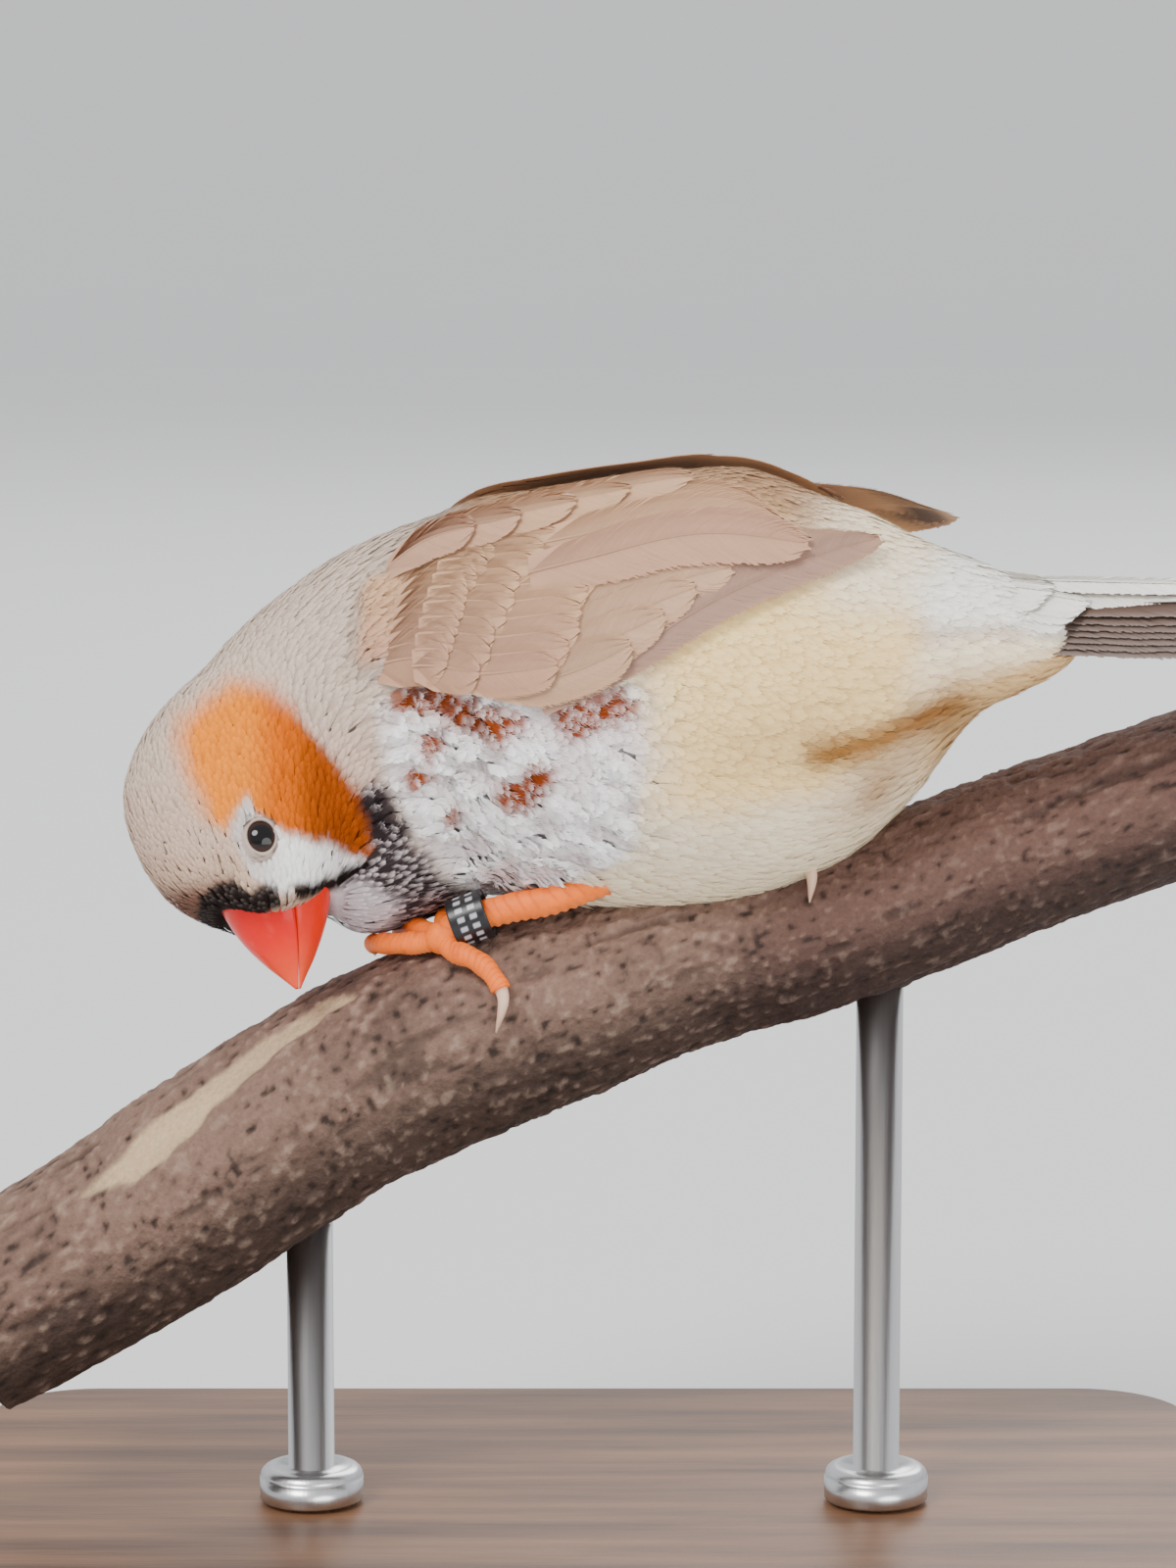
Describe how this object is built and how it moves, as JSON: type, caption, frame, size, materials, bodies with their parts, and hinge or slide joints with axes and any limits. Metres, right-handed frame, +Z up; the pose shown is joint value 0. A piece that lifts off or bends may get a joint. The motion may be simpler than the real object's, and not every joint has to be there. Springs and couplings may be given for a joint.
{
  "type": "zebra finch on a perch",
  "caption": "Life-size still model of a male zebra finch leaning forward on a cut length of branch, on a plain stand.",
  "frame": {"origin": "centre of the display base's underside, on the surface that it stands on", "axes": "+Z up; the bird faces -X with its bill down, its tail points to +X, and its left side faces -Y"},
  "size_m": [0.1286, 0.078, 0.0995],
  "materials": {
    "plumage": "soft matt feathers: grey-brown back and wings, cream belly, orange cheek, white and chestnut flank",
    "bill_upper": "glossy red horn",
    "bill_lower": "glossy orange-red horn",
    "eye": "wet black-brown",
    "leg_skin": "satin scaly orange skin",
    "claw": "satin pale horn",
    "leg_ring": "satin black with plain silver bars",
    "bark": "rough grey-brown bark, one bare patch",
    "base_wood": "oiled satin wood",
    "rod_steel": "brushed"
  },
  "bodies": {
    "root": {"head": "plumage", "neck": "plumage", "torso": "plumage", "tail": "plumage", "wing_left": "plumage", "wing_right": "plumage", "bill_upper": "bill_upper", "bill_lower": "bill_lower", "eye_left": "eye", "eye_right": "eye", "shank_left": "leg_skin", "shank_right": "leg_skin", "foot_left": "leg_skin", "foot_right": "leg_skin", "claw_left_hallux": "claw", "claw_left_inner": "claw", "claw_left_middle": "claw", "claw_left_outer": "claw", "claw_right_hallux": "claw", "claw_right_inner": "claw", "claw_right_middle": "claw", "claw_right_outer": "claw", "leg_ring": "leg_ring", "perch": "bark", "stand_base": "base_wood", "stand_rod_front": "rod_steel", "stand_rod_rear": "rod_steel"}
  },
  "joints": []
}
